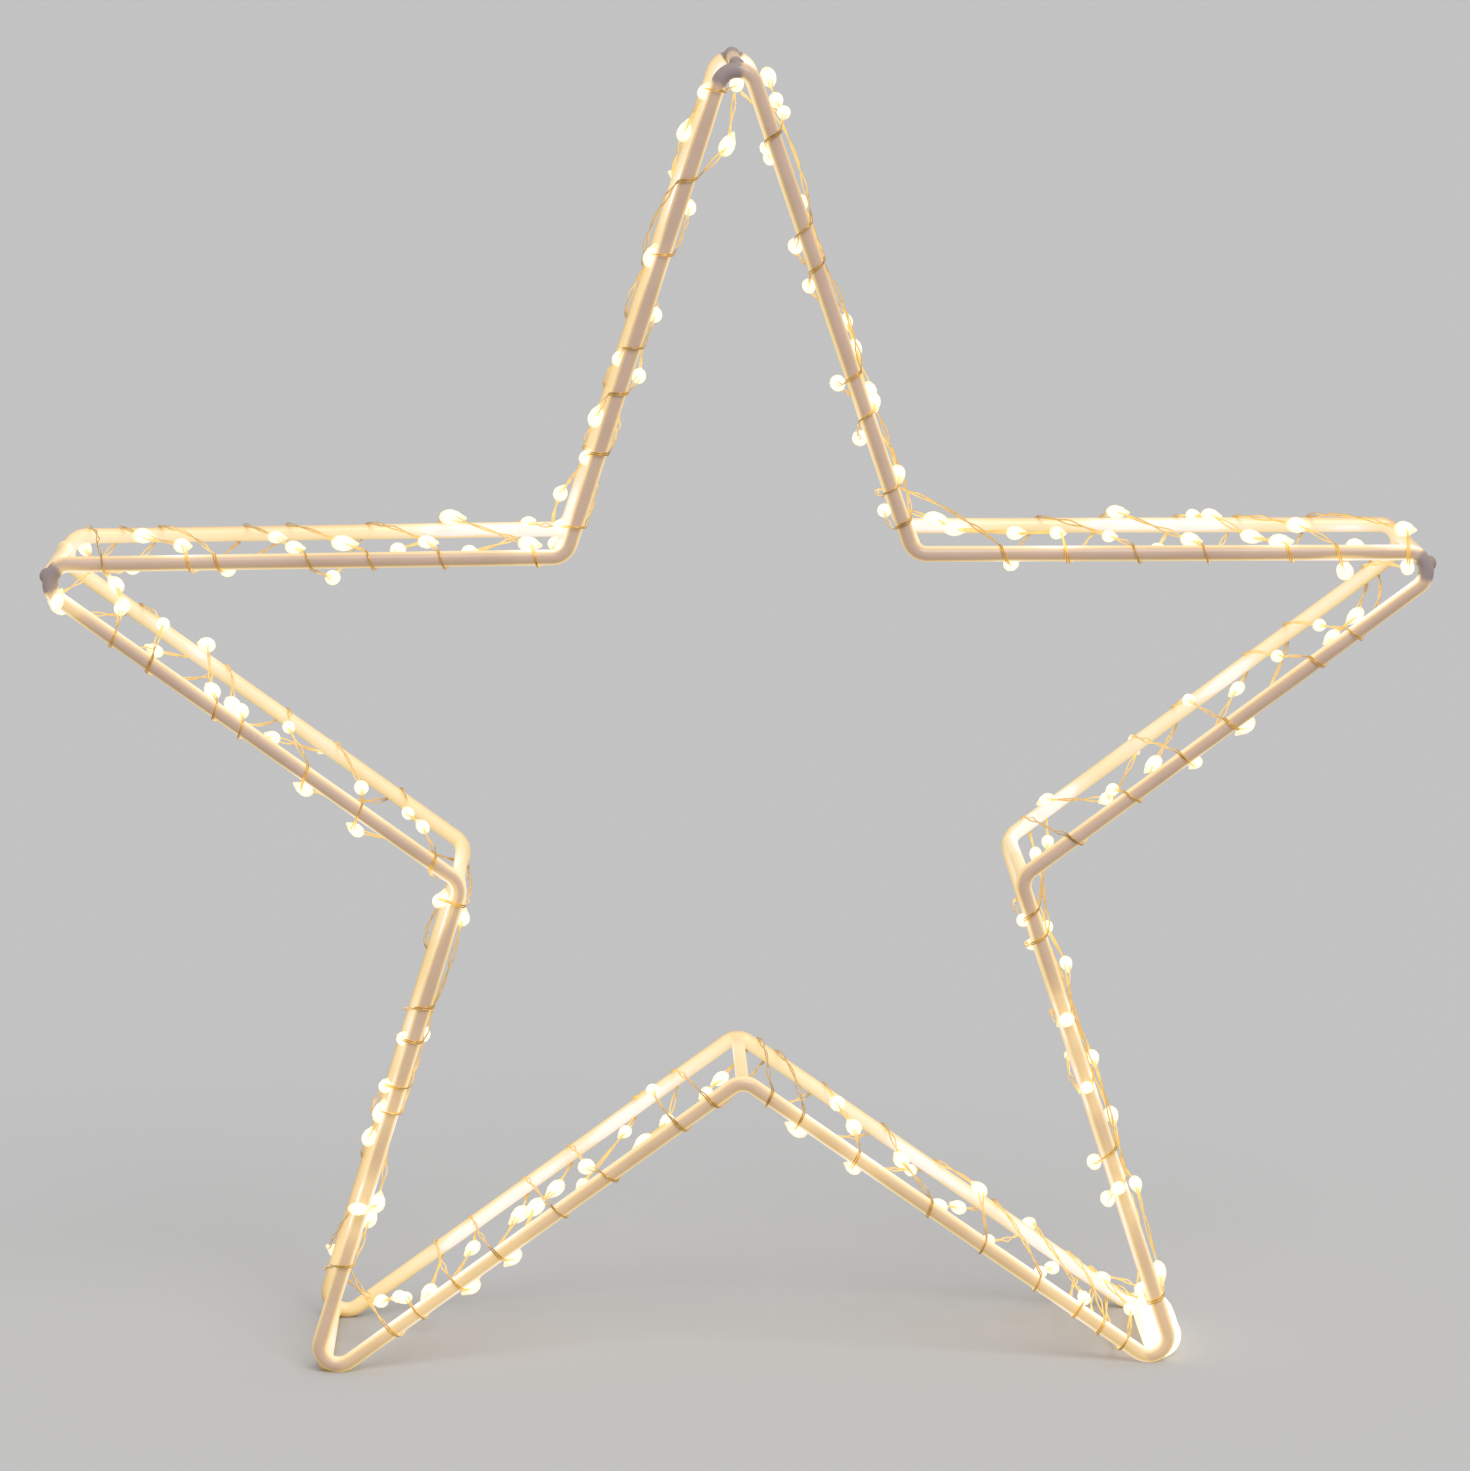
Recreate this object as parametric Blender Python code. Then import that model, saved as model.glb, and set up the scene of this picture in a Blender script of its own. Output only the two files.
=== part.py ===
"""Double-frame five-pointed star, wound all round with a string of small warm drop lights.

X runs across the star, Y from its front to its back and Z up. The star stands on its two lower tips,
at z = 0.
"""
import math

import bpy
import numpy as np

# Star outline, on the axis of the rod
TIP_REACH = 0.2193
NOTCH_REACH = 0.0849
TIP_BEND = 0.0055
NOTCH_BEND = 0.0055
BEND_STEP = math.radians(24.0)
TIP_SEGMENTS = 6
NOTCH_SEGMENTS = 3

# Rods of the two frames and the cross bars between them
ROD_RADIUS = 0.00225
ROD_SIDES = 12
FRAME_DEPTH = 0.063
BAR_RADIUS = 0.0019
BAR_SHIFT = 0.0011
BAR_SIDES = 12
JOINT_GAP = 0.0003

# Lead-in sleeve, a thick round piece over the cross bar of the lower right tip. Outer rings from front to
# rear: millimetres from its front end, and radius in millimetres. The widest rings hang off the bar's axis.
SLEEVE_CORNER = 4
SLEEVE_BORE = 0.00215
SLEEVE_RADIUS = 0.0059
SLEEVE_MOUTH = 0.0030
SLEEVE_OFFSET = (0.0011, 0.0, 0.0029)
SLEEVE_RINGS = ((0.0, 3.8), (0.9, 5.1), (2.6, 5.9), (29.0, 5.9), (38.0, 5.2), (44.0, 4.0), (47.0, 3.0))
SLEEVE_SIDES = 16

# Paired wire of the string
WIRE_RADIUS = 0.0004
WIRE_SIDES = 5
FRONT_WIND = (0.00345, (-60.0, 0.0, 60.0))
REAR_WIND = (0.0043, (-45.0, 45.0))
WIND_LEAN = 0.0008
WIND_GAP = 0.0055
REAR_SHARE = 0.3
NOTCH_KEEP = 0.007
TIP_KEEP = 0.019
SLACK_MEAN = 0.0010
SLACK_SWING = 0.0008
SLACK_PHASE = 2.4
STRING_START = 0.019
START_DEPTH = 0.55
END_DEPTH = 0.45
END_REACH = 0.020
END_LEAN = 0.003
SPOT_PITCH = 0.0008
NEIGHBOUR_RUN = 0.007
GAP_BLOCK = 400

# Drops of resin on the wire
BEAD_RADIUS = 0.0018
BEAD_HALF_LENGTH = 0.0026
BEAD_BELLY = 0.0003
POINT_KEEP = 0.0007
SOLID_CLEAR = 0.0002
STRING_CLEAR = 0.0006
SHIFT_MOST = 0.004
SHIFT_SHARES = (1.0, 0.7, 0.4, 0.0)
SHIFT_COST = 0.35
PUSHES = (0.0, 0.0007, 0.0014, 0.0021, 0.0028)
STRAY_MOST = 0.009
SPOTS_TRIED = 60
TURN_LEAST = -0.2
END_KEEP = 4
EYE = (-0.0422, -1.7859, 0.3045)

# The string runs twice round the star, clockwise from the lower right tip, each round between the turns of
# the other. Each row gives where the wire crosses the front rod, in millimetres from the side's start.
CROSSINGS = {
    4: (22, 30, 40, 53, 73, 91, 118, 138, 151),
    5: (11, 24, 49, 67, 89, 104, 120, 127),
    6: (41, 56, 89, 97, 110, 120, 151),
    7: (10, 38, 56, 79, 87, 112, 125, 140),
    8: (26, 51, 60, 86, 105, 124, 151),
    9: (10, 33, 51, 64, 91, 114, 141),
    0: (32, 62, 73, 107, 117, 140, 151),
    1: (26, 44, 65, 85, 109, 124, 141),
    2: (40, 53, 85, 99, 118, 141),
    3: (8, 19, 41, 63, 87, 95, 135),
}

# Lights as seen from the front: millimetres along the side, and across it, outwards positive.
LIGHTS = {
    0: ((15, -5), (16, 4), (23, 4), (27, 5), (35, -3), (38, -3), (52, -4), (64, -4), (76, -4), (89, 3),
        (97, 3), (105, -5), (110, 3), (113, 3), (122, -4), (135, 3), (144, -4)),
    1: ((6, 10), (11, 6), (28, -3), (29, 6), (41, 6), (56, 5), (58, 12), (70, 1), (79, 3), (80, 11),
        (85, 11), (96, 3), (106, 3), (110, 8), (124, -5), (127, 2), (141, 7), (142, -4)),
    2: ((16, -6), (31, -16), (36, -4), (45, -3), (46, -8), (61, -8), (77, -9), (80, 3), (89, -13),
        (98, 3), (108, -4), (109, -12), (122, -5), (125, -4), (139, -14), (146, -4), (151, -3)),
    3: ((12, -3), (16, 3), (20, -2), (28, 5), (45, -1), (55, -1), (57, 4), (65, -1), (75, 4), (87, -5),
        (97, 4), (97, -2), (102, -2), (124, 3), (128, -3)),
    4: ((26, -9), (38, -12), (39, -4), (52, -6), (54, -3), (65, -12), (72, -2), (83, -13), (85, -5),
        (90, -2), (103, -6), (107, -7), (117, 3), (124, -7), (132, -10), (137, 3)),
    5: ((5, -4), (11, -3), (21, -13), (25, -3), (34, -2), (38, -14), (52, -6), (56, -3), (63, -6),
        (71, -5), (76, -6), (85, 3), (93, -6), (100, 3), (111, -3), (117, -6), (119, -7), (124, -9)),
    6: ((43, 3), (56, -3), (58, 2), (61, -4), (79, 4), (87, 3), (95, 4), (110, 3), (113, -2), (149, -3),
        (152, 5)),
    7: ((2, 7), (19, -7), (25, -7), (34, 5), (40, -6), (53, 4), (55, -9), (68, -8), (69, -3), (81, -4),
        (84, -4), (91, -4), (100, -14), (111, -4), (112, -12), (126, -8), (131, -13), (142, 0)),
    8: ((13, -10), (14, 6), (32, -12), (35, -1), (38, 8), (49, 5), (62, -2), (76, 7), (81, 4), (92, -5),
        (95, 5), (110, 4), (119, 5), (126, 12), (130, 3), (148, 10), (148, 4), (157, 4)),
    9: ((3, 4), (8, 4), (17, 7), (29, 3), (41, 4), (56, -4), (59, 3), (74, -3), (90, 2), (106, -3),
        (113, 2), (126, 5), (126, -8), (139, 2), (143, -5), (148, -13)),
}

CORNER_NAMES = (
    "top_tip",
    "upper_right_notch",
    "right_tip",
    "lower_right_notch",
    "lower_right_tip",
    "bottom_notch",
    "lower_left_tip",
    "lower_left_notch",
    "left_tip",
    "upper_left_notch",
)
SIDES = 10
MILLIMETRE = 0.001
DEPTH_AXIS = np.array((0.0, 1.0, 0.0))
TIP_HALF_ANGLE = math.atan2(
    NOTCH_REACH * math.sin(math.pi / 5),
    TIP_REACH - NOTCH_REACH * math.cos(math.pi / 5),
)
NOTCH_HALF_TURN = 0.3 * math.pi - TIP_HALF_ANGLE
TIP_CENTRE_REACH = TIP_REACH - TIP_BEND / math.sin(TIP_HALF_ANGLE)
NOTCH_CENTRE_REACH = NOTCH_REACH + NOTCH_BEND / math.cos(NOTCH_HALF_TURN)
STAND_HEIGHT = (
    TIP_CENTRE_REACH * math.sin(math.radians(54.0))
    + TIP_BEND * math.cos(BEND_STEP / 2)
    + ROD_RADIUS
)
FRONT_Y = -FRAME_DEPTH / 2
REAR_Y = FRAME_DEPTH / 2


# Plan of the star

def radial(corner):
    angle = math.radians(90.0 - 36.0 * corner)
    return np.array((math.cos(angle), 0.0, math.sin(angle)))


def travel(corner):
    out = radial(corner)
    return np.array((out[2], 0.0, -out[0]))


def is_tip(corner):
    return corner % 2 == 0


def sharp_corner(corner):
    reach = TIP_REACH if is_tip(corner) else NOTCH_REACH
    return radial(corner) * reach


def bend_centre(corner):
    reach = TIP_CENTRE_REACH if is_tip(corner) else NOTCH_CENTRE_REACH
    return radial(corner) * reach


def bend_points(corner):
    bend = TIP_BEND if is_tip(corner) else NOTCH_BEND
    count = TIP_SEGMENTS if is_tip(corner) else NOTCH_SEGMENTS
    outward = radial(corner) if is_tip(corner) else -radial(corner)
    points = []
    for index in range(count + 1):
        angle = (index - count / 2) * BEND_STEP
        arm = math.cos(angle) * outward + math.sin(angle) * travel(corner)
        points.append(bend_centre(corner) + bend * arm)
    return points


def bar_place(corner):
    if is_tip(corner):
        shift = 0.0 if corner == SLEEVE_CORNER else BAR_SHIFT
        return bend_centre(corner) + radial(corner) * (TIP_BEND + shift)
    return bend_centre(corner) - radial(corner) * NOTCH_BEND * math.cos(BEND_STEP / 2)


def side_axes(side):
    start = sharp_corner(side)
    end = sharp_corner((side + 1) % SIDES)
    along = (end - start) / np.linalg.norm(end - start)
    outward = np.array((-along[2], 0.0, along[0]))
    return start, along, outward


SIDE_LENGTH = float(np.linalg.norm(sharp_corner(1) - sharp_corner(0)))


def lift(point):
    return (point[0], point[1], point[2] + STAND_HEIGHT)


# Meshes

def make_object(name, vertices, faces, material, smooth):
    mesh = bpy.data.meshes.new(name)
    mesh.from_pydata([lift(point) for point in vertices], [], faces)
    mesh.validate()
    mesh.update()
    for polygon in mesh.polygons:
        polygon.use_smooth = smooth
    made = bpy.data.objects.new(name, mesh)
    made.data.materials.append(material)
    bpy.context.collection.objects.link(made)
    return made


def make_material(name, colour, metallic, roughness, glow=0.0):
    material = bpy.data.materials.new(name)
    material.use_nodes = True
    shader = material.node_tree.nodes["Principled BSDF"]
    shader.inputs["Base Color"].default_value = (*colour, 1.0)
    shader.inputs["Metallic"].default_value = metallic
    shader.inputs["Roughness"].default_value = roughness
    if glow:
        shader.inputs["Emission Color"].default_value = (*colour, 1.0)
        shader.inputs["Emission Strength"].default_value = glow
    return material


def bridge(faces, first, second, sides):
    for index in range(sides):
        following = (index + 1) % sides
        faces.append((first + index, second + index, second + following, first + following))


def make_frame(name, depth, material):
    path = []
    for corner in range(SIDES):
        path.extend(bend_points(corner))
    count = len(path)
    vertices = []
    faces = []
    for index in range(count):
        before = path[index] - path[index - 1]
        after = path[(index + 1) % count] - path[index]
        before = before / np.linalg.norm(before)
        after = after / np.linalg.norm(after)
        mean = (before + after) / np.linalg.norm(before + after)
        outward = np.array((-mean[2], 0.0, mean[0]))
        stretch = 1.0 / float(np.dot(mean, after))
        for step in range(ROD_SIDES):
            angle = (step + 0.5) * 2 * math.pi / ROD_SIDES
            reach = ROD_RADIUS / math.cos(math.pi / ROD_SIDES)
            across = reach * math.cos(angle) * stretch * outward
            through = (reach * math.sin(angle) + depth) * DEPTH_AXIS
            vertices.append(path[index] + across + through)
    for index in range(count):
        bridge(faces, index * ROD_SIDES, ((index + 1) % count) * ROD_SIDES, ROD_SIDES)
    return make_object(name, vertices, faces, material, True)


def add_ring(vertices, centre, radius, sides):
    for step in range(sides):
        angle = (step + 0.5) * 2 * math.pi / sides
        vertices.append(centre + np.array((radius * math.cos(angle), 0.0, radius * math.sin(angle))))


def make_bar(name, corner, front, rear, material):
    vertices = []
    faces = []
    add_ring(vertices, bar_place(corner) + front * DEPTH_AXIS, BAR_RADIUS, BAR_SIDES)
    add_ring(vertices, bar_place(corner) + rear * DEPTH_AXIS, BAR_RADIUS, BAR_SIDES)
    bridge(faces, 0, BAR_SIDES, BAR_SIDES)
    faces.append(tuple(range(BAR_SIDES)))
    faces.append(tuple(reversed(range(BAR_SIDES, 2 * BAR_SIDES))))
    return make_object(name, vertices, faces, material, True)


def sleeve_centre(radius):
    """Middle of an outer ring, on the bar's axis for the narrowest and off it for the widest."""
    share = (radius - SLEEVE_MOUTH) / (SLEEVE_RADIUS - SLEEVE_MOUTH)
    return bar_place(SLEEVE_CORNER) + share * np.array(SLEEVE_OFFSET)


def make_sleeve(name, front, material):
    vertices = []
    faces = []
    rear = front + SLEEVE_RINGS[-1][0] * MILLIMETRE
    add_ring(vertices, bar_place(SLEEVE_CORNER) + front * DEPTH_AXIS, SLEEVE_BORE, SLEEVE_SIDES)
    for depth_mm, radius_mm in SLEEVE_RINGS:
        radius = radius_mm * MILLIMETRE
        centre = sleeve_centre(radius) + (front + depth_mm * MILLIMETRE) * DEPTH_AXIS
        add_ring(vertices, centre, radius, SLEEVE_SIDES)
    add_ring(vertices, bar_place(SLEEVE_CORNER) + rear * DEPTH_AXIS, SLEEVE_BORE, SLEEVE_SIDES)
    count = len(SLEEVE_RINGS) + 2
    for index in range(count):
        bridge(faces, index * SLEEVE_SIDES, ((index + 1) % count) * SLEEVE_SIDES, SLEEVE_SIDES)
    return make_object(name, vertices, faces, material, True)


# Route of the wire

def on_side(side, along_mm, outwards, depth):
    start, along, outward = side_axes(side)
    return start + along_mm * MILLIMETRE * along + outwards * outward + depth * DEPTH_AXIS


def wind(side, along_mm, facing):
    """Points half round a rod: facing is -1 at the front rod, outside to inside, and 1 at the rear rod."""
    outward = side_axes(side)[2]
    depth = REAR_Y if facing > 0 else FRONT_Y
    reach, degrees = REAR_WIND if facing > 0 else FRONT_WIND
    points = []
    for turn in degrees:
        angle = math.radians(turn)
        away = facing * (math.cos(angle) * DEPTH_AXIS + math.sin(angle) * outward)
        lean = turn / degrees[-1] * WIND_LEAN * side_axes(side)[1]
        points.append((on_side(side, along_mm, 0.0, depth) + lean + reach * away, away, False))
    return points


def rear_windings(fronts):
    """Where the wire from each front crossing passes round the rear rod: side and millimetres along it."""
    length_mm = SIDE_LENGTH / MILLIMETRE
    gap_mm = WIND_GAP / MILLIMETRE
    count = len(fronts)
    rears = []
    last = (fronts[0][0], TIP_KEEP / MILLIMETRE + gap_mm)
    for index, (side, along_mm) in enumerate(fronts):
        following = fronts[(index + 1) % count][0]
        later, later_mm = fronts[(index + 2) % count]
        if index == count - 2:
            place = (side, along_mm + END_REACH / MILLIMETRE)
        elif later == side:
            place = (side, along_mm + REAR_SHARE * (later_mm - along_mm))
        elif is_tip(later):
            place = (later, TIP_KEEP / MILLIMETRE + (0.0 if following == side else gap_mm))
        else:
            place = (side, length_mm - NOTCH_KEEP / MILLIMETRE - (gap_mm if following == side else 0.0))
        if place[0] == last[0] and index < count - 1:
            place = (place[0], max(place[1], last[1] + gap_mm))
        rears.append(place)
        last = place
    return rears


def windings():
    """Every pass round a rod in string order: side, millimetres along it, facing."""
    fronts = [(side, along_mm) for side in CROSSINGS for along_mm in CROSSINGS[side]]
    rears = rear_windings(fronts)
    order = list(range(0, len(fronts), 2)) + list(range(1, len(fronts), 2))
    passes = [(fronts[0][0], STRING_START / MILLIMETRE, 1)]
    for index in order:
        passes.append((*fronts[index], -1))
        passes.append((*rears[index], 1))
    return passes


def strand_middle(before, after, sides, facing, index):
    outward = side_axes(sides[0])[2] + side_axes(sides[1])[2]
    away = facing * outward / np.linalg.norm(outward)
    slack = SLACK_MEAN + SLACK_SWING * math.sin(SLACK_PHASE * index)
    return (before[0] + after[0]) / 2 + slack * away, away, True


def string_route():
    """Points of the wire, the direction that leads away from the rods at each, and which ones are slack."""
    reach = FRONT_WIND[0] * math.sin(math.radians(FRONT_WIND[1][-1]))
    passes = windings()
    side = passes[0][0]
    outward = side_axes(side)[2]
    start = on_side(side, STRING_START / MILLIMETRE, -reach, FRONT_Y + START_DEPTH * FRAME_DEPTH)
    route = [(start, -outward, False)]
    for index, (side, along_mm, facing) in enumerate(passes):
        points = wind(side, along_mm, facing)
        if index:
            sides = (passes[index - 1][0], side)
            route.append(strand_middle(route[-1], points[0], sides, -facing, index))
        route.extend(points)
    side, along_mm = passes[-1][:2]
    outward = side_axes(side)[2]
    end = on_side(side, along_mm + END_LEAN / MILLIMETRE, reach, FRONT_Y + END_DEPTH * FRAME_DEPTH)
    route.append((end, outward, False))
    return route


def least_gap(places, thick):
    """Smallest clear gap between stretches of the string that aren't neighbours along it."""
    runs = []
    spots = []
    radii = []
    run = 0.0
    for index in range(len(places) - 1):
        step = places[index + 1] - places[index]
        length = float(np.linalg.norm(step))
        count = max(1, round(length / SPOT_PITCH))
        for part in range(count):
            share = (part + 0.5) / count
            runs.append(run + share * length)
            spots.append(places[index] + share * step)
            radii.append((1 - share) * thick[index] + share * thick[index + 1])
        run += length
    runs = np.array(runs)
    spots = np.array(spots)
    radii = np.array(radii)
    least = 1.0
    for start in range(0, len(runs), GAP_BLOCK):
        block = slice(start, start + GAP_BLOCK)
        gaps = np.linalg.norm(spots[block, None, :] - spots[None, :, :], axis=2)
        gaps -= radii[block, None] + radii[None, :]
        gaps[np.abs(runs[block, None] - runs[None, :]) < NEIGHBOUR_RUN] = 1.0
        least = min(least, float(gaps.min()))
    return run, least


# Lights on the wire

def solid_segments():
    """Axes and radii of the rods, the cross bars and the sleeve."""
    starts = []
    ends = []
    radii = []
    for depth in (FRONT_Y, REAR_Y):
        path = [point + depth * DEPTH_AXIS for corner in range(SIDES) for point in bend_points(corner)]
        starts.extend(path)
        ends.extend(path[1:] + path[:1])
        radii.extend([ROD_RADIUS / math.cos(math.pi / ROD_SIDES)] * len(path))
    for corner in range(SIDES):
        starts.append(bar_place(corner) + FRONT_Y * DEPTH_AXIS)
        ends.append(bar_place(corner) + REAR_Y * DEPTH_AXIS)
        radii.append(BAR_RADIUS)
    sleeve_length = SLEEVE_RINGS[-1][0] * MILLIMETRE
    starts.append(sleeve_centre(SLEEVE_RADIUS) + FRONT_Y * DEPTH_AXIS)
    ends.append(sleeve_centre(SLEEVE_RADIUS) + (FRONT_Y + sleeve_length) * DEPTH_AXIS)
    radii.append(SLEEVE_RADIUS)
    return np.array(starts), np.array(ends), np.array(radii)


def least_clearance(spots, spot_radii, starts, ends, radii):
    """Smallest clear gap between thick spots and thick segments."""
    along = ends - starts
    offset = spots[:, None, :] - starts[None, :, :]
    share = np.clip(np.sum(offset * along, axis=2) / np.sum(along * along, axis=1), 0.0, 1.0)
    gaps = np.linalg.norm(offset - share[..., None] * along, axis=2)
    return float((gaps - radii[None, :] - spot_radii[:, None]).min())


def plain_spots(places, thick):
    """Close spots on the plain wire: segment, share of it and place."""
    steps = places[1:] - places[:-1]
    lengths = np.linalg.norm(steps, axis=1)
    plain = (thick[:-1] == WIRE_RADIUS) & (thick[1:] == WIRE_RADIUS)
    plain[:END_KEEP] = False
    plain[-END_KEEP:] = False
    counts = np.where(plain, np.maximum(1, np.rint(lengths / SPOT_PITCH)), 0).astype(int)
    segments = np.repeat(np.arange(len(counts)), counts)
    firsts = np.repeat(np.cumsum(counts) - counts, counts)
    shares = (np.arange(len(segments)) - firsts + 0.5) / counts[segments]
    return segments, shares, places[segments] + shares[:, None] * steps[segments]


def drop_tries(string, target):
    """Centres that a drop could have, seen nearest to its light first: segment, centre, away and stray."""
    places, thick, aways, _ = string
    eye = np.array(EYE)
    segments, shares, spots = plain_spots(places, thick)
    scale = (spots[:, 1] - eye[1]) / (FRONT_Y - eye[1])
    misses = target - eye - (spots - eye) / scale[:, None]
    near = np.argsort(np.linalg.norm(misses, axis=1), kind="stable")[:SPOTS_TRIED]
    segments, shares, spots, scale, misses = (row[near] for row in (segments, shares, spots, scale, misses))

    ahead = places[segments + 1] - places[segments]
    ahead /= np.linalg.norm(ahead, axis=1)[:, None]
    away = (1 - shares)[:, None] * aways[segments] + shares[:, None] * aways[segments + 1]
    away -= np.sum(away * ahead, axis=1)[:, None] * ahead
    away /= np.linalg.norm(away, axis=1)[:, None]
    full = misses * scale[:, None]
    full *= np.minimum(1.0, SHIFT_MOST / np.linalg.norm(full, axis=1))[:, None]

    shift_shares = np.repeat(SHIFT_SHARES, len(PUSHES))
    pushes = np.tile(PUSHES, len(SHIFT_SHARES))
    shifts = shift_shares[None, :, None] * full[:, None, :] + pushes[None, :, None] * away[:, None, :]
    seen_shifts = shifts * np.array((1.0, 0.0, 1.0)) / scale[:, None, None]
    strays = np.linalg.norm(misses[:, None, :] - seen_shifts, axis=2)
    costs = strays + SHIFT_COST * np.linalg.norm(shifts, axis=2)
    costs[strays > STRAY_MOST] = np.inf
    for rank in np.argsort(costs, axis=None, kind="stable")[:int(np.isfinite(costs).sum())]:
        row, column = divmod(int(rank), costs.shape[1])
        yield int(segments[row]), spots[row] + shifts[row, column], away[row], float(strays[row, column])


def fit_drop(string, attempt, solids):
    """The string with one more drop, or None where it would touch something."""
    places, thick, aways, slack = string
    segment, centre, away, _ = attempt
    if least_clearance(centre[None, :], np.array((BEAD_RADIUS,)), *solids) < SOLID_CLEAR:
        return None
    reach = BEAD_HALF_LENGTH + POINT_KEEP
    before = segment
    while slack[before] or np.linalg.norm(places[before] - centre) < reach:
        if thick[before - 1] > WIRE_RADIUS:
            return None
        before -= 1
    after = segment + 1
    while slack[after] or np.linalg.norm(places[after] - centre) < reach:
        if after + 2 >= len(places) or thick[after + 1] > WIRE_RADIUS:
            return None
        after += 1
    if before < 1 or after > len(places) - 2:
        return None
    ahead = places[after] - places[before]
    ahead = ahead / np.linalg.norm(ahead)
    half = BEAD_HALF_LENGTH * ahead
    drop = (centre - half, centre + BEAD_BELLY * ahead, centre + half)
    piece = np.array((places[before], *drop, places[after]))
    piece_thick = np.array((WIRE_RADIUS, WIRE_RADIUS, BEAD_RADIUS, WIRE_RADIUS, WIRE_RADIUS))
    joined = np.array((places[before - 1], *piece, places[after + 1]))
    steps = joined[1:] - joined[:-1]
    steps = steps / np.linalg.norm(steps, axis=1)[:, None]
    if np.sum(steps[1:] * steps[:-1], axis=1).min() < TURN_LEAST:
        return None

    spots = []
    spot_radii = []
    for index in range(len(piece) - 1):
        count = max(2, round(float(np.linalg.norm(piece[index + 1] - piece[index])) / SPOT_PITCH))
        for share in np.linspace(0.0, 1.0, count + 1)[1:]:
            spots.append((1 - share) * piece[index] + share * piece[index + 1])
            spot_radii.append((1 - share) * piece_thick[index] + share * piece_thick[index + 1])
    spots = np.array(spots)
    spot_radii = np.array(spot_radii)
    if (spots[:, 2] - spot_radii).min() < SOLID_CLEAR - STAND_HEIGHT:
        return None
    if least_clearance(spots, spot_radii, *solids) < SOLID_CLEAR:
        return None
    others = np.ones(len(places) - 1, dtype=bool)
    others[before - 1:after + 1] = False
    strand = (places[:-1][others], places[1:][others], np.maximum(thick[:-1], thick[1:])[others])
    if least_clearance(spots, spot_radii, *strand) < STRING_CLEAR:
        return None
    kept = (slice(None, before + 1), slice(after, None))
    return (
        np.concatenate((places[kept[0]], drop, places[kept[1]])),
        np.concatenate((thick[kept[0]], piece_thick[1:4], thick[kept[1]])),
        np.concatenate((aways[kept[0]], (away, away, away), aways[kept[1]])),
        np.concatenate((slack[kept[0]], (False, False, False), slack[kept[1]])),
    )


def add_drops(route):
    """The wire's route with a drop round it at each light, and how far each is off its seen place."""
    string = (
        np.array([point[0] for point in route]),
        np.full(len(route), WIRE_RADIUS),
        np.array([point[1] for point in route]),
        np.array([point[2] for point in route]),
    )
    solids = solid_segments()
    strays = []
    for side in LIGHTS:
        for along_mm, across_mm in LIGHTS[side]:
            target = on_side(side, along_mm, across_mm * MILLIMETRE, FRONT_Y)
            for attempt in drop_tries(string, target):
                made = fit_drop(string, attempt, solids)
                if made is not None:
                    string = made
                    strays.append(attempt[3])
                    break
    return string[0], string[1], strays


def make_string(places, thick, material):
    profile = bpy.data.curves.new("wire_profile", "CURVE")
    outline = profile.splines.new("POLY")
    outline.points.add(WIRE_SIDES - 1)
    outline.use_cyclic_u = True
    for index, point in enumerate(outline.points):
        angle = -index * 2 * math.pi / WIRE_SIDES
        point.co = (WIRE_RADIUS * math.cos(angle), WIRE_RADIUS * math.sin(angle), 0.0, 1.0)
    guide = bpy.data.objects.new("wire_profile", profile)
    guide.hide_render = True
    guide.display_type = "WIRE"
    bpy.context.collection.objects.link(guide)

    curve = bpy.data.curves.new("light_string", "CURVE")
    curve.dimensions = "3D"
    curve.bevel_mode = "OBJECT"
    curve.bevel_object = guide
    curve.use_fill_caps = True
    spline = curve.splines.new("POLY")
    spline.points.add(len(places) - 1)
    for point, place, radius in zip(spline.points, places, thick):
        point.co = (*lift(place), 1.0)
        point.radius = radius / WIRE_RADIUS
    curve.materials.append(material)
    made = bpy.data.objects.new("light_string", curve)
    bpy.context.collection.objects.link(made)
    return made


# Assembly

def build():
    for old in list(bpy.data.objects):
        bpy.data.objects.remove(old, do_unlink=True)

    paint = make_material("frame_paint", (0.55, 0.43, 0.41), 0.0, 0.4)
    bar_paint = make_material("bar_paint", (0.53, 0.41, 0.39), 0.0, 0.4)
    resin = make_material("light_resin", (1.0, 0.86, 0.56), 0.0, 0.2, 4.0)
    sleeve = make_material("sleeve_plastic", (0.95, 0.92, 0.85), 0.0, 0.3)

    make_frame("front_frame", FRONT_Y, paint)
    make_frame("rear_frame", REAR_Y, paint)

    bar_front = FRONT_Y + ROD_RADIUS + JOINT_GAP
    bar_rear = REAR_Y - ROD_RADIUS - JOINT_GAP
    for corner in range(SIDES):
        make_bar(f"bar_{CORNER_NAMES[corner]}", corner, bar_front, bar_rear, bar_paint)
    make_sleeve("lead_in_sleeve", bar_front + JOINT_GAP, sleeve)

    places, thick, strays = add_drops(string_route())
    make_string(places, thick, resin)
    length, gap = least_gap(places, thick)
    print(f"string: {length:.2f} m long, least gap to itself {gap / MILLIMETRE:.2f} mm")
    mean_mm = np.mean(strays) / MILLIMETRE
    most_mm = max(strays) / MILLIMETRE
    print(f"lights: {len(strays)}, off their seen places by {mean_mm:.1f} mm on average")
    print(f"farthest light: {most_mm:.1f} mm off")


build()
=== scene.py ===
import math

import bpy
import numpy as np
from mathutils import Matrix, Vector


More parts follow.
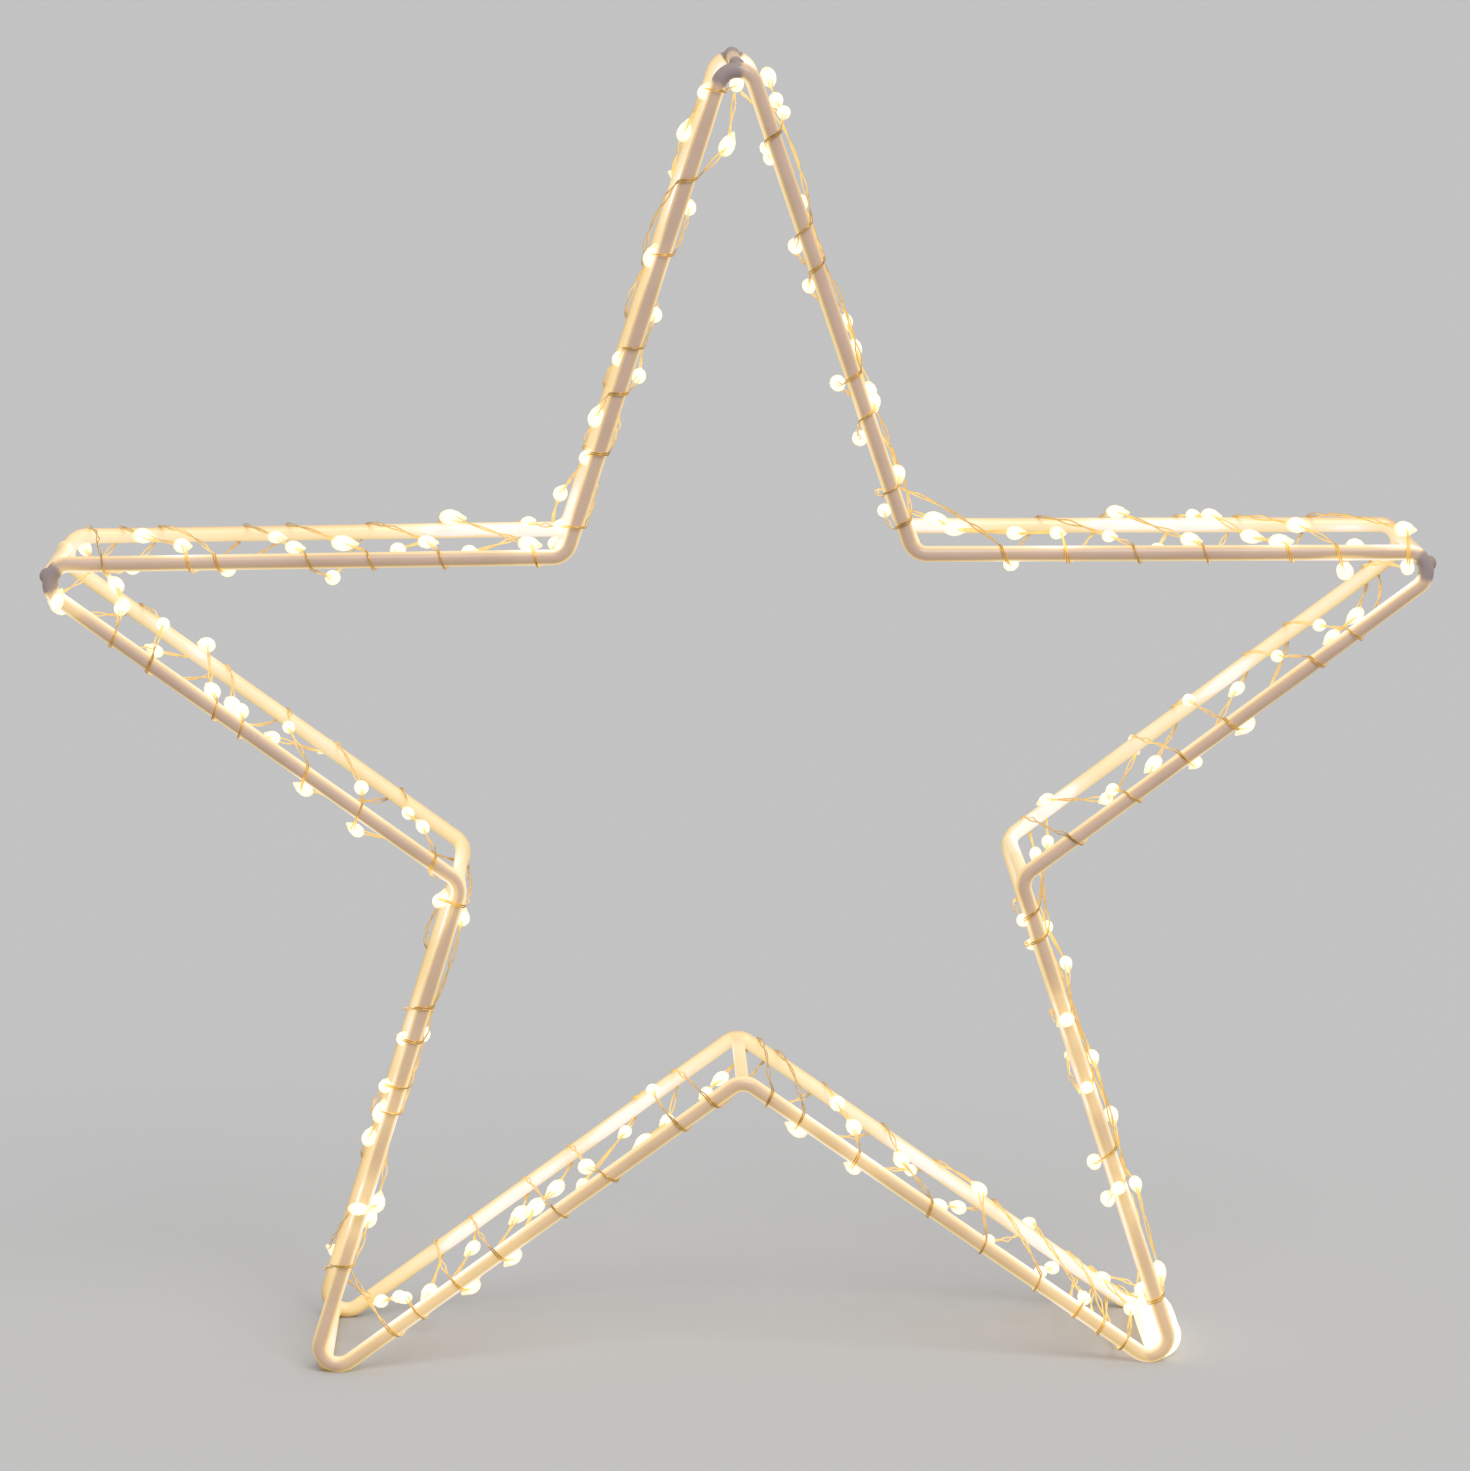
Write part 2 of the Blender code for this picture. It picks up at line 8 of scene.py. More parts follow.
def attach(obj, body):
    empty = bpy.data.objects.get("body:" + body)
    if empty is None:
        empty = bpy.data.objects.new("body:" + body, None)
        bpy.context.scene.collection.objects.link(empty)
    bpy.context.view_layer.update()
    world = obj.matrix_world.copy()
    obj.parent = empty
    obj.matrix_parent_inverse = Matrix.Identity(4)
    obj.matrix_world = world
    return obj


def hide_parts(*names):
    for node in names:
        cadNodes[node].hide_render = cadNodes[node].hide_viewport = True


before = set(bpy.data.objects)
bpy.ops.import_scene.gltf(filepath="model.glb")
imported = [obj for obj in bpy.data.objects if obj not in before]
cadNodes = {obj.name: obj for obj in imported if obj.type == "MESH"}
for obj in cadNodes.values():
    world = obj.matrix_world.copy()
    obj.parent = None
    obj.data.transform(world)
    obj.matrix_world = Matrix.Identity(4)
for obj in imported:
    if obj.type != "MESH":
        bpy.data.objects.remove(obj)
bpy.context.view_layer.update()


# Camera, where the photograph was taken from

camera = {
    "place": (-0.0422, -1.7859, 0.4754),
    "turn": -0.0231,   # radians round the upright
    "tilt": -0.1627,   # radians up from level
    "roll": 0.006,
    "lens": 151.1,
    "clip": (0.1, 60.0),
}

cameraData = bpy.data.cameras.new("starCamera")
cameraData.lens = camera["lens"]
cameraData.clip_start, cameraData.clip_end = camera["clip"]
cameraObject = bpy.data.objects.new("starCamera", cameraData)
bpy.context.scene.collection.objects.link(cameraObject)
cameraObject.matrix_world = (
    Matrix.Translation(camera["place"])
    @ Matrix.Rotation(camera["turn"], 4, "Z")
    @ Matrix.Rotation(math.pi / 2 + camera["tilt"], 4, "X")
    @ Matrix.Rotation(-camera["roll"], 4, "Z")
)
bpy.context.scene.camera = cameraObject
print("camera set")


# Plan of the star, in metres, as the frames are bent

star = {
    "tipReach": 0.2193,
    "notchReach": 0.0849,
    "bend": 0.0055,
    "rodRadius": 0.00225,
    "frontY": -0.0315,
    "rearY": 0.0315,
    "standHeight": 0.1709,   # of the star's middle over the floor
    "barShift": 0.0011,      # how far outside the rod's line a tip's bar is welded
    "corners": 10,           # tips and notches by turns
    "sleeveCorner": 4,
}
tipHalfAngle = math.atan2(
    star["notchReach"] * math.sin(math.pi / 5),
    star["tipReach"] - star["notchReach"] * math.cos(math.pi / 5),
)
notchHalfTurn = 0.3 * math.pi - tipHalfAngle
middle = Vector((0.0, 0.0, star["standHeight"]))


def spoke(corner):
    # towards a corner from the star's middle; even corners are tips, clockwise from the top
    angle = math.radians(90.0 - 36.0 * corner)
    return Vector((math.cos(angle), 0.0, math.sin(angle)))


def bendCentre(corner):
    if corner % 2:
        return middle + spoke(corner) * (star["notchReach"] + star["bend"] / math.cos(notchHalfTurn))
    return middle + spoke(corner) * (star["tipReach"] - star["bend"] / math.sin(tipHalfAngle))


def barPlace(corner):
    if corner % 2:
        return bendCentre(corner) - spoke(corner) * star["bend"]
    shift = 0.0 if corner == star["sleeveCorner"] else star["barShift"]
    return bendCentre(corner) + spoke(corner) * (star["bend"] + shift)


def bendLine(corner, steps):
    # the rod's middle line round one corner
    isTip = corner % 2 == 0
    turn = math.pi - 2 * tipHalfAngle if isTip else -2 * notchHalfTurn
    arm = spoke(corner) * (star["bend"] if isTip else -star["bend"])
    angles = [turn * (step / steps - 0.5) for step in range(steps + 1)]
    return turn, [bendCentre(corner) + Matrix.Rotation(angle, 3, "Y") @ arm for angle in angles]


# Making things

weldWithin = 0.00002   # points nearer to each other than this are made one
tiny = 1e-6            # keeps divisions finite
depthWay = (0.0, 1.0, 0.0)
upWay = (0.0, 0.0, 1.0)


def clearSelection():
    if bpy.context.object and bpy.context.object.mode != "OBJECT":
        bpy.ops.object.mode_set(mode="OBJECT")
    bpy.ops.object.select_all(action="DESELECT")


def settle(name):
    # leaves the active object smooth, with its place in its mesh and its faces outwards
    if bpy.context.object.mode != "OBJECT":
        bpy.ops.object.mode_set(mode="OBJECT")
    made = bpy.context.object
    made.name = name
    made.data.name = name
    bpy.ops.object.transform_apply(location=True, rotation=True, scale=True)
    bpy.ops.object.mode_set(mode="EDIT")
    bpy.ops.mesh.select_all(action="SELECT")
    bpy.ops.mesh.remove_doubles(threshold=weldWithin)
    bpy.ops.mesh.normals_make_consistent(inside=False)
    bpy.ops.object.mode_set(mode="OBJECT")
    bpy.ops.object.shade_smooth()
    return made


def placeRing(centre, radius, sides, towards, filled):
    # a circle that faces along a direction, left open in edit mode with its place applied
    clearSelection()
    bpy.ops.mesh.primitive_circle_add(
        vertices=sides,
        radius=radius,
        fill_type="NGON" if filled else "NOTHING",
        location=centre,
        rotation=Vector(towards).to_track_quat("Z", "Y").to_euler(),
    )
    bpy.ops.object.transform_apply(location=True, rotation=True, scale=True)
    bpy.ops.object.mode_set(mode="EDIT")
    bpy.ops.mesh.select_all(action="SELECT")


def extrudeBy(step):
    bpy.ops.mesh.extrude_region_move(TRANSFORM_OT_translate={"value": tuple(step)})


def turnPiece(name, rings, sides, towards):
    # a closed round piece; rings are the middle and the radius of each, all facing one way
    at, radius = rings[0]
    placeRing(at, radius, sides, towards, True)
    for nextAt, nextRadius in rings[1:]:
        extrudeBy(nextAt - at)
        share = nextRadius / radius
        bpy.ops.transform.resize(value=(share, share, share))
        at, radius = nextAt, nextRadius
    return settle(name)


def copyPiece(piece, name, shift):
    made = piece.copy()
    made.data = piece.data.copy()
    made.name = name
    made.data.name = name
    bpy.context.scene.collection.objects.link(made)
    made.data.transform(Matrix.Translation(shift))
    return made


def pointsOf(mesh, kind="co"):
    values = np.zeros(len(mesh.vertices) * 3)
    mesh.vertices.foreach_get(kind, values)
    return values.reshape(-1, 3)


def dress(piece, material):
    piece.data.materials.clear()
    piece.data.materials.append(material)


def hold(piece, material, slot, *nodes):
    dress(piece, material)
    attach(piece, "root")
    if nodes:
        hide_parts(*nodes)


# Shader sums

class Shade:
    def __init__(self, tree, socket=None):
        self.tree = tree
        self.socket = socket

    def feed(self, socket, value):
        if isinstance(value, Shade):
            self.tree.links.new(value.socket, socket)
        else:
            socket.default_value = value

    def node(self, kind, settings, values, output=0):
        made = self.tree.nodes.new(kind)
        for name, value in settings.items():
            if name == "stops":
                while len(made.color_ramp.elements) < len(value):
                    made.color_ramp.elements.new(0.5)
                for element, (position, colour) in zip(made.color_ramp.elements, value):
                    element.position = position
                    element.color = (*colour, 1.0)
            else:
                setattr(made, name, value)
        for name, value in values.items():
            self.feed(made.inputs[name], value)
        return Shade(self.tree, made.outputs[output])

    def maths(self, operation, first, second):
        return self.node("ShaderNodeMath", {"operation": operation}, {0: first, 1: second})

    def __add__(self, other):
        return self.maths("ADD", self, other)

    def __radd__(self, other):
        return self.maths("ADD", other, self)

    def __sub__(self, other):
        return self.maths("SUBTRACT", self, other)

    def __rsub__(self, other):
        return self.maths("SUBTRACT", other, self)

    def __mul__(self, other):
        return self.maths("MULTIPLY", self, other)

    def __rmul__(self, other):
        return self.maths("MULTIPLY", other, self)

    def between(self, low, high):
        # 0 at low, 1 at high
        values = {"Value": self, "From Min": low, "From Max": high}
        return self.node("ShaderNodeMapRange", {"interpolation_type": "SMOOTHSTEP"}, values)

    def mix(self, first, second):
        # this share of the second colour over the first; the numbers are the node's colour sockets
        return self.node("ShaderNodeMix", {"data_type": "RGBA"}, {0: self, 6: first, 7: second}, 2)


def newMaterial(name):
    material = bpy.data.materials.new(name)
    material.use_nodes = True
    return material, Shade(material.node_tree)


def feedShader(material, shade, values):
    shader = material.node_tree.nodes["Principled BSDF"]
    for socket, value in values.items():
        shade.feed(shader.inputs[socket], value)
    return material


def noise(shade, place, scale, detail, roughness=0.5):
    values = {"Vector": place, "Scale": scale, "Detail": detail, "Roughness": roughness}
    return shade.node("ShaderNodeTexNoise", {}, values)


def objectPlace(shade):
    return shade.node("ShaderNodeTexCoord", {}, {}, "Object")


def pointValue(shade, name):
    # a value kept on the points of a mesh, such as what the lights throw there
    return shade.node("ShaderNodeAttribute", {"attribute_name": name}, {}, 2)


def bump(shade, height, strength, distance):
    values = {"Height": height, "Strength": strength, "Distance": distance}
    return shade.node("ShaderNodeBump", {}, values)


# Materials

paint = {
    "colour": (0.53, 0.375, 0.30, 1.0),
    "worn": (0.49, 0.34, 0.265, 1.0),
    "speck": (0.28, 0.19, 0.15, 1.0),
    # painted shade: a dark colour for the outer tips, where they are in shade
    "paintedShade": (0.27, 0.215, 0.22, 1.0),
    "speckShare": 0.35,       # how much of its colour each shows
    "paintedShadeShare": 0.92,
    "speckShade": 0.2,        # how much each takes off the shine
    "paintedShadeDimming": 0.93,
    "cloud": (60.0, 4.0),     # patterns: scale per metre, detail and roughness
    "specks": (420.0, 5.0, 0.7),
    "scale": (700.0, 4.0, 0.6),
    "pebbles": (1500.0, 2.0),
    "cloudLimits": (0.35, 0.7),   # where on its pattern each begins and is full
    "speckLimits": (0.66, 0.74),
    "paintedShadeLimits": (0.25, 0.7),
    "paintedShadeRagged": 0.5,       # how far the scale pattern moves the painted shade's edge
    "bump": (0.6, 0.00003),   # strength and height
    "scaleHeight": 4.0,       # against the pebbles
    "roughness": 0.36,
    "cloudRoughness": 0.12,   # what each adds
    "speckRoughness": 0.15,
    "paintedShadeRoughness": 0.2,
    "coat": 0.15,
    "coatRoughness": 0.2,
    "shineRange": 3.5,        # the shine at which the ramp ends
    "shineRamp": (
        (0.0, (0.0, 0.0, 0.0)),
        (0.10, (0.12, 0.08, 0.004)),
        (0.22, (0.30, 0.20, 0.012)),
        (0.38, (0.48, 0.37, 0.09)),
        (0.62, (0.58, 0.48, 0.22)),
        (0.85, (0.64, 0.54, 0.36)),
        (1.0, (0.75, 0.66, 0.62)),
    ),
}


def makePaint(name):
    material, shade = newMaterial(name)
    place = objectPlace(shade)
    cloud = noise(shade, place, *paint["cloud"])
    pebbles = noise(shade, place, *paint["pebbles"])
    specks = noise(shade, place, *paint["specks"]).between(*paint["speckLimits"])
    scale = noise(shade, place, *paint["scale"])
    # painted shade at the outer tips: a darker coat there, and less of the painted shine
    paintedShade = pointValue(shade, "burn") + (scale - 0.5) * paint["paintedShadeRagged"]
    paintedShade = paintedShade.between(*paint["paintedShadeLimits"])
    colour = cloud.between(*paint["cloudLimits"]).mix(paint["colour"], paint["worn"])
    colour = (specks * paint["speckShare"]).mix(colour, paint["speck"])
    colour = (paintedShade * paint["paintedShadeShare"]).mix(colour, paint["paintedShade"])
    roughness = paint["roughness"] + (cloud - 0.5) * paint["cloudRoughness"]
    roughness = roughness + specks * paint["speckRoughness"] + paintedShade * paint["paintedShadeRoughness"]
    thrown = pointValue(shade, "shine") - specks * paint["speckShade"]
    thrown = thrown * (1.0 - paintedShade * paint["paintedShadeDimming"]) * (1 / paint["shineRange"])
    lit = shade.node("ShaderNodeValToRGB", {"stops": paint["shineRamp"]}, {"Fac": thrown})
    height = pebbles + paintedShade * scale * paint["scaleHeight"]
    material.cycles.emission_sampling = "NONE"
    return feedShader(material, shade, {
        "Base Color": colour,
        "Roughness": roughness,
        "Coat Weight": paint["coat"],
        "Coat Roughness": paint["coatRoughness"],
        "Emission Color": lit,
        "Emission Strength": 1.0,
        "Normal": bump(shade, height, *paint["bump"]),
    })


resin = {
    "shell": ((0.42, 0.36, 0.22, 1.0), (0.38, 0.31, 0.17, 1.0)),   # two, mixed in clouds
    "shellLit": ((1.0, 0.84, 0.55, 1.0), (1.0, 0.88, 0.64, 1.0)),
    "shellGlow": 0.82,
    "shellAlpha": 0.58,
    "shellRoughness": 0.12,
    "shellCloud": (500.0, 2.0),
    "chip": (0.40, 0.37, 0.28, 1.0),
    "chipLit": ((1.0, 0.96, 0.86, 1.0), (1.0, 0.92, 0.74, 1.0)),
    "chipGlow": 1.4,
    "chipRoughness": 0.4,
    "chipCloud": (900.0, 2.0),
    "litLimits": (0.3, 0.7),
}


def makeResin():
    material, shade = newMaterial("lit_resin")
    cloud = noise(shade, objectPlace(shade), *resin["shellCloud"])
    material.cycles.emission_sampling = "NONE"
    return feedShader(material, shade, {
        "Base Color": cloud.mix(*resin["shell"]),
        "Roughness": resin["shellRoughness"],
        "Emission Color": cloud.between(*resin["litLimits"]).mix(*resin["shellLit"]),
        "Emission Strength": resin["shellGlow"],
        "Alpha": resin["shellAlpha"],
    })


def makeChipGlow():
    material, shade = newMaterial("lit_chip")
    cloud = noise(shade, objectPlace(shade), *resin["chipCloud"])
    return feedShader(material, shade, {
        "Base Color": resin["chip"],
        "Roughness": resin["chipRoughness"],
        "Emission Color": cloud.between(*resin["litLimits"]).mix(*resin["chipLit"]),
        "Emission Strength": resin["chipGlow"],
    })


lacquer = {
    "colour": (0.60, 0.37, 0.12, 1.0),
    "dark": (0.29, 0.165, 0.055, 1.0),
    "unlit": (0.0, 0.0, 0.0, 1.0),
    "lit": (0.86, 0.52, 0.095, 1.0),
    "shineRange": 3.7,      # the shine at which it is wholly lit
    "patches": (240.0, 3.0),
    "patchLimits": (0.45, 0.7),
    "grain": (3000.0, 2.0),
    "bump": (0.3, 0.00002),
    "roughness": 0.3,
    "grainRoughness": 0.15,
    "metallic": 0.75,
    "coat": 0.4,
    "coatRoughness": 0.15,
}


def makeLacquer():
    material, shade = newMaterial("wire_lacquer")
    place = objectPlace(shade)
    patches = noise(shade, place, *lacquer["patches"]).between(*lacquer["patchLimits"])
    grain = noise(shade, place, *lacquer["grain"])
    thrown = (pointValue(shade, "shine") * (1 / lacquer["shineRange"])).between(0.0, 1.0)
    material.cycles.emission_sampling = "NONE"
    return feedShader(material, shade, {
        "Base Color": patches.mix(lacquer["colour"], lacquer["dark"]),
        "Roughness": lacquer["roughness"] + grain * lacquer["grainRoughness"],
        "Metallic": lacquer["metallic"],
        "Coat Weight": lacquer["coat"],
        "Coat Roughness": lacquer["coatRoughness"],
        "Emission Color": thrown.mix(lacquer["unlit"], lacquer["lit"]),
        "Emission Strength": 1.0,
        "Normal": bump(shade, grain, *lacquer["bump"]),
    })


plastic = {
    "colour": ((0.93, 0.89, 0.80, 1.0), (0.88, 0.82, 0.70, 1.0)),
    "lit": ((1.0, 0.90, 0.68, 1.0), (1.0, 0.84, 0.56, 1.0)),
    "glow": 0.75,
    "roughness": 0.28,
    "cloudRoughness": 0.12,
    "cloud": (140.0, 3.0),
    "cloudLimits": (0.3, 0.7),
    "bump": (0.2, 0.0003),
}


def makePlastic():
    material, shade = newMaterial("sleeve_plastic")
    cloud = noise(shade, objectPlace(shade), *plastic["cloud"])
    return feedShader(material, shade, {
        "Base Color": cloud.between(*plastic["cloudLimits"]).mix(*plastic["colour"]),
        "Roughness": plastic["roughness"] + cloud * plastic["cloudRoughness"],
        "Emission Color": cloud.mix(*plastic["lit"]),
        "Emission Strength": plastic["glow"],
        "Normal": bump(shade, cloud, *plastic["bump"]),
    })


rodPaint = makePaint("rod_paint")
barPaint = makePaint("bar_paint")
resinGlow = makeResin()
chipGlow = makeChipGlow()
wireLacquer = makeLacquer()
sleevePlastic = makePlastic()
print("materials made")


# The two bent frames

bentRod = {
    "sides": 48,
    "tipSteps": 22,
    "notchSteps": 12,
    "straightSteps": 80,
    "straightFrom": 0.02,   # edges longer than this are straight stretches
}


def bendFrame(name, depth):
    # a ring is spun round every corner and drawn straight between them
    offset = Vector((0.0, depth, 0.0))
    path = []
    for corner in [*range(1, star["corners"]), 0]:
        steps = bentRod["notchSteps"] if corner % 2 else bentRod["tipSteps"]
        turn, points = bendLine(corner, steps)
        places = (bendCentre(corner), points[0], points[-1])
        path.append((*(place + offset for place in places), turn, steps))
    start = (path[-1][2] + path[0][1]) / 2
    along = (path[0][1] - start).normalized()
    placeRing(start, star["rodRadius"], bentRod["sides"], along, False)
    at = start
    for centre, first, last, turn, steps in path:
        extrudeBy(first - at)
        bpy.ops.mesh.spin(steps=steps, angle=turn, center=centre, axis=(0.0, -1.0, 0.0))
        at = last
    extrudeBy(start - at)
    made = settle(name)
    # the straight stretches are cut up, because the shine is kept on points
    bpy.ops.object.mode_set(mode="EDIT")
    bpy.ops.mesh.select_mode(type="EDGE")
    bpy.ops.mesh.select_all(action="DESELECT")
    bpy.ops.object.mode_set(mode="OBJECT")
    for edge in made.data.edges:
        first, second = (made.data.vertices[index].co for index in edge.vertices)
        edge.select = (second - first).length > bentRod["straightFrom"]
    bpy.ops.object.mode_set(mode="EDIT")
    bpy.ops.mesh.subdivide(number_cuts=bentRod["straightSteps"])
    bpy.ops.mesh.select_mode(type="VERT")
    bpy.ops.object.mode_set(mode="OBJECT")
    return made


frontFrame = bendFrame("front_rod", star["frontY"])
hold(frontFrame, rodPaint, "frame_paint", "front_frame")
rearFrame = bendFrame("rear_rod", star["rearY"])
hold(rearFrame, rodPaint, "frame_paint", "rear_frame")
print("frames bent,", len(frontFrame.data.polygons), "faces each")


# Cross bars, welded between the frames at every corner

crossBar = {
    "sides": 20,
    "radius": 0.0019,
    "waist": (-0.024, -0.012, 0.0, 0.012, 0.024),   # depths
    "collar": (   # mm from the rod's axis, and mm radius
        (1.2, 2.3), (2.3, 2.3), (2.75, 2.15), (3.3, 2.0), (4.2, 1.92),
    ),
}
cornerNames = (
    "top_tip",
    "upper_right_notch",
    "right_tip",
    "lower_right_notch",
    "lower_right_tip",
    "bottom_notch",
    "lower_left_tip",
    "lower_left_notch",
    "left_tip",
    "upper_left_notch",
)

collar = [(far / 1000, radius / 1000) for far, radius in crossBar["collar"]]
barRings = [(star["frontY"] + far, radius) for far, radius in collar]
barRings += [(depth, crossBar["radius"]) for depth in crossBar["waist"]]
barRings += [(star["rearY"] - far, radius) for far, radius in reversed(collar)]
barRings = [(barPlace(0) + Vector((0.0, depth, 0.0)), radius) for depth, radius in barRings]
firstBar = turnPiece("cross_bar_top_tip", barRings, crossBar["sides"], depthWay)
bars = [firstBar]
for corner in range(1, star["corners"]):
    shift = barPlace(corner) - barPlace(0)
    bars.append(copyPiece(firstBar, f"cross_bar_{cornerNames[corner]}", shift))
for bar, cornerName in zip(bars, cornerNames):
    hold(bar, barPaint, "bar_paint", f"bar_{cornerName}")
print("cross bars made")


# Lead-in sleeve on the bar of the lower right tip

sleeve = {
    "sides": 32,
    "mouth": 3.0,    # mm; the radius up to which a ring is centred on the bar
    "widest": 5.85,
    "offset": (0.0011, 0.0, 0.0029),   # of the widest ring's middle from the bar's line
    "rings": (   # mm depth and mm radius
        (-28.6, 2.4), (-28.6, 3.3), (-28.4, 4.0), (-27.9, 4.8), (-27.1, 5.35), (-26.0, 5.7),
        (-24.5, 5.85), (-18.0, 5.8), (-10.0, 5.9), (-1.0, 5.85), (4.0, 5.65), (9.0, 5.15),
        (13.0, 4.4), (16.0, 3.7), (17.6, 3.1), (18.2, 2.5), (18.3, 2.0),
    ),
}


def sleeveRing(depth, radius):
    share = (radius - sleeve["mouth"]) / (sleeve["widest"] - sleeve["mouth"])
    place = barPlace(star["sleeveCorner"]) + Vector(sleeve["offset"]) * min(1.0, max(0.0, share))
    return place + Vector((0.0, depth / 1000, 0.0)), radius / 1000


sleeveRings = [sleeveRing(depth, radius) for depth, radius in sleeve["rings"]]
leadSleeve = turnPiece("lead_sleeve", sleeveRings, sleeve["sides"], depthWay)
hold(leadSleeve, sleevePlastic, "sleeve_plastic", "lead_in_sleeve")
print("sleeve made")


# Route of the string, read ring by ring off the CAD node

route = {
    "perMetre": 1e5,        # points that agree to this part of a metre are one
    "ringReach": 0.00082,   # of the string's last ring, from the farthest point
    "dropFrom": 0.001,      # rings of a larger radius are in drops
    "leadIn": ((0.0, 0.006, 0.0), (-0.0045, 0.005, 0.0045)),   # from the sleeve's middle
    "tieOff": ((0.005, 0.0, 0.003), (0.0, 0.0, 0.0)),
}


def stringRings(mesh):
    spots = pointsOf(mesh)
    keys = [tuple(row) for row in np.round(spots * route["perMetre"]).astype(int)]
    number = {key: index for index, key in enumerate(dict.fromkeys(keys))}
    places = np.zeros((len(number), 3))
    for key, place in zip(keys, spots):
        places[number[key]] = place
    beside = [set() for _ in number]
    for edge in mesh.edges:
        first, second = (number[keys[index]] for index in edge.vertices)
        if first != second:
            beside[first].add(second)
            beside[second].add(first)

    def levels(start):
        seen = set(start)
        found = [sorted(start)]
        while found[-1]:
            following = sorted({other for index in found[-1] for other in beside[index]} - seen)
            seen.update(following)
            found.append(following)
        return found[:-1]

    farthest = levels([0])[-1][0]
    near = np.linalg.norm(places - places[farthest], axis=1) < route["ringReach"]
    rings = levels(list(np.flatnonzero(near)))
    centres = [places[ring].mean(axis=0) for ring in rings]
    spans = [places[ring] - centre for ring, centre in zip(rings, centres)]
    radii = [float(np.linalg.norm(span, axis=1).mean()) for span in spans]
    return np.array(centres), np.array(radii), [len(ring) for ring in rings]


routePlaces, routeRadii, ringSizes = stringRings(cadNodes["light_string"].data)
isDrop = routeRadii > route["dropFrom"]
print(f"string read: {len(routePlaces)} rings of {min(ringSizes)} to {max(ringSizes)} points")


def smoothRoute(places, step):
    # a curve through every place, with no overshoot, and the stretch that each of its points is on
    made = []
    stretches = []
    padded = np.vstack((2 * places[0] - places[1], places, 2 * places[-1] - places[-2]))
    for index in range(1, len(padded) - 2):
        p0, p1, p2, p3 = padded[index - 1:index + 3]
        steps = (p1 - p0, p2 - p1, p3 - p2)
        gaps = [max(tiny, float(np.linalg.norm(gone)) ** 0.5) for gone in steps]
        t0, t1 = 0.0, gaps[0]
        t2 = t1 + gaps[1]
        t3 = t2 + gaps[2]
        count = max(1, round(float(np.linalg.norm(p2 - p1)) / step))
        for part in range(count):
            t = t1 + (t2 - t1) * part / count
            a1 = (t1 - t) / (t1 - t0) * p0 + (t - t0) / (t1 - t0) * p1
            a2 = (t2 - t) / (t2 - t1) * p1 + (t - t1) / (t2 - t1) * p2
            a3 = (t3 - t) / (t3 - t2) * p2 + (t - t2) / (t3 - t2) * p3
            b1 = (t2 - t) / (t2 - t0) * a1 + (t - t0) / (t2 - t0) * a2
            b2 = (t3 - t) / (t3 - t1) * a2 + (t - t1) / (t3 - t1) * a3
            made.append((t2 - t) / (t2 - t1) * b1 + (t - t1) / (t2 - t1) * b2)
            stretches.append(index - 1)
    made.append(places[-1])
    stretches.append(len(places) - 1)
    return np.array(made), np.array(stretches)


wire = {
    "radius": 0.00022,
    "bevel": 1,
    "sides": 6,             # points round a wire with this bevel
    "step": 0.0011,
    "apart": 0.00028,       # each wire's line from the pair's middle line
    "twistEvery": 0.042,    # length of one turn of the pair
    "opens": 1.3,           # how much farther apart they hang, at most, clear of the rods
    "openEvery": 0.041,     # from one such place to the next
    "clear": 0.00042,       # the pair's middle line from a rod's face, where it lies on it
    "clearFrom": 0.003,     # the distance from which it counts as clear of the rods
    "bendSteps": 6,         # straight pieces that stand for each bend of a rod
    "pulls": 60,            # how often slack is drawn out of the line
    "stretch": 1.5,         # more than 1 draws faster
    "lastPulls": 6,
    "lastStretch": 0.7,
    "nearRods": 3,          # how many rod pieces each place is kept off
    "nearEvery": 9,         # pulls from one search for them to the next
}


def frameLines():
    # middle lines and radii of all that the string is wound on
    corners = range(star["corners"])
    starts, ends, radii = [], [], []
    for depth in (star["frontY"], star["rearY"]):
        offset = Vector((0.0, depth, 0.0))
        bends = [bendLine(corner, wire["bendSteps"])[1] for corner in corners]
        points = [point + offset for bend in bends for point in bend]
        starts.extend(points)
        ends.extend(points[1:] + points[:1])
        radii.extend([star["rodRadius"]] * len(points))
    for corner in corners:
        starts.append(barPlace(corner) + Vector((0.0, star["frontY"], 0.0)))
        ends.append(barPlace(corner) + Vector((0.0, star["rearY"], 0.0)))
        radii.append(crossBar["radius"])
    return np.array(starts), np.array(ends), np.array(radii)


frameStarts, frameEnds, frameRadii = frameLines()
frameAlong = frameEnds - frameStarts
frameSquares = np.sum(frameAlong * frameAlong, axis=1)


def rodGaps(points):
    # from each point to the face of each rod
    offset = points[:, None, :] - frameStarts
    share = np.clip(np.einsum("ijk,jk->ij", offset, frameAlong) / frameSquares, 0.0, 1.0)
    return np.linalg.norm(offset - share[..., None] * frameAlong, axis=2) - frameRadii


def pullTight(line, held):
    # draws the slack out little by little, and keeps the line on the faces of the rods
    closest = None
    loose = np.flatnonzero(~held)
    for pull in range(wire["pulls"]):
        if pull % wire["nearEvery"] == 0:
            closest = np.argsort(rodGaps(line), axis=1)[:, :wire["nearRods"]]
        isLast = pull >= wire["pulls"] - wire["lastPulls"]
        stretch = wire["lastStretch"] if isLast else wire["stretch"]
        for parity in (0, 1):
            moved = loose[loose % 2 == parity]
            drawn = line[moved] + stretch * ((line[moved - 1] + line[moved + 1]) / 2 - line[moved])
            for rank in range(wire["nearRods"]):
                which = closest[moved, rank]
                offset = drawn - frameStarts[which]
                share = np.sum(offset * frameAlong[which], axis=1) / frameSquares[which]
                away = offset - np.clip(share, 0.0, 1.0)[:, None] * frameAlong[which]
                far = np.maximum(np.linalg.norm(away, axis=1), tiny)
                push = np.maximum(0.0, frameRadii[which] + wire["clear"] - far) / far
                drawn += push[:, None] * away
            line[moved] = drawn
    return line


